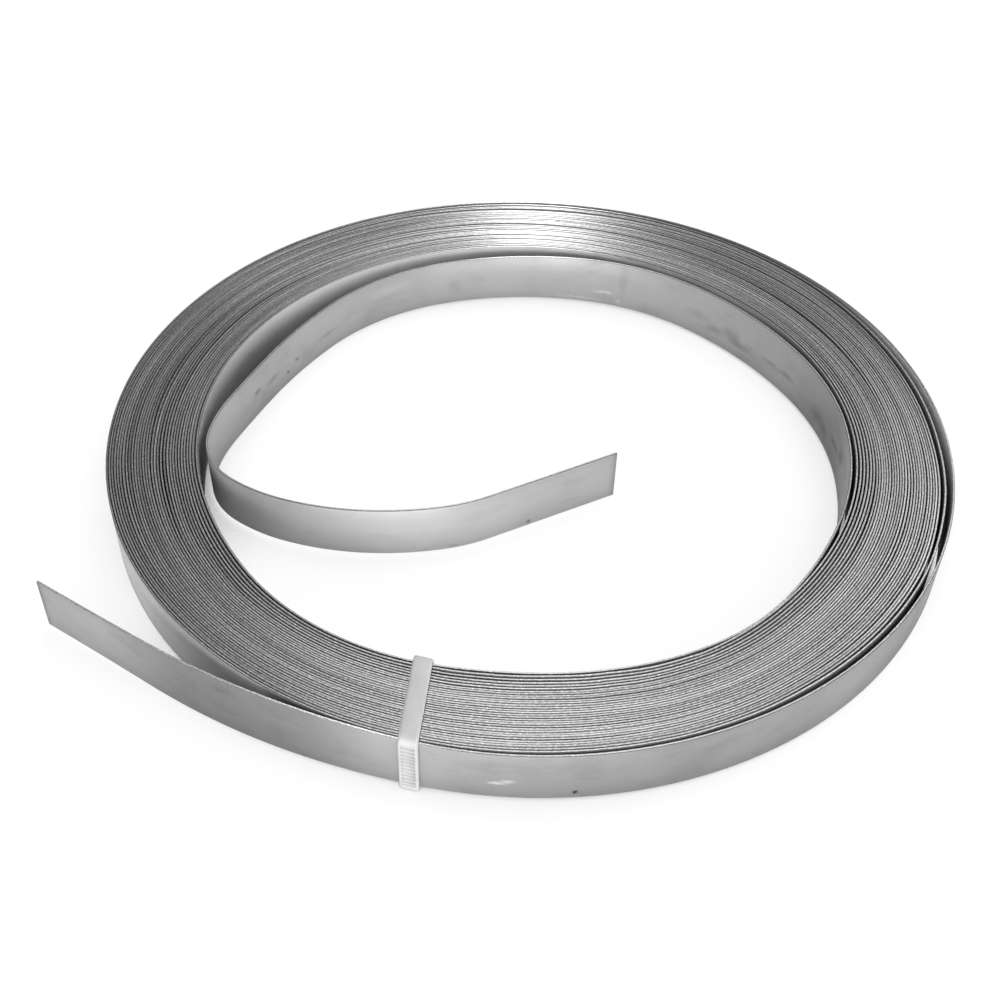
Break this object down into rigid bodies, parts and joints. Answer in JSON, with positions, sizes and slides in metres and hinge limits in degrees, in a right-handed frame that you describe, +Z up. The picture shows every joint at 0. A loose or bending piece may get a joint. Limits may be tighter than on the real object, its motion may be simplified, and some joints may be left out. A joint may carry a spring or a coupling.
{
  "type": "roll of steel strapping",
  "caption": "Flat roll of stainless steel strapping with a loose inner turn folded across the bore and a free outer end, held by a nylon cable tie.",
  "frame": {"origin": "in the middle of the roll, on the floor that it lies on", "axes": "+Z up along the axis that the strap is wound about; the cable tie is at the front, towards -Y, and the free outer end points to -X"},
  "size_m": [0.2418, 0.2398, 0.0189],
  "materials": {
    "strap_steel": "bright rolled stainless steel with slit edges",
    "tie_nylon": "natural white nylon, slightly translucent"
  },
  "bodies": {
    "root": {"steel_strap": "strap_steel", "cable_tie": "tie_nylon"}
  },
  "joints": []
}
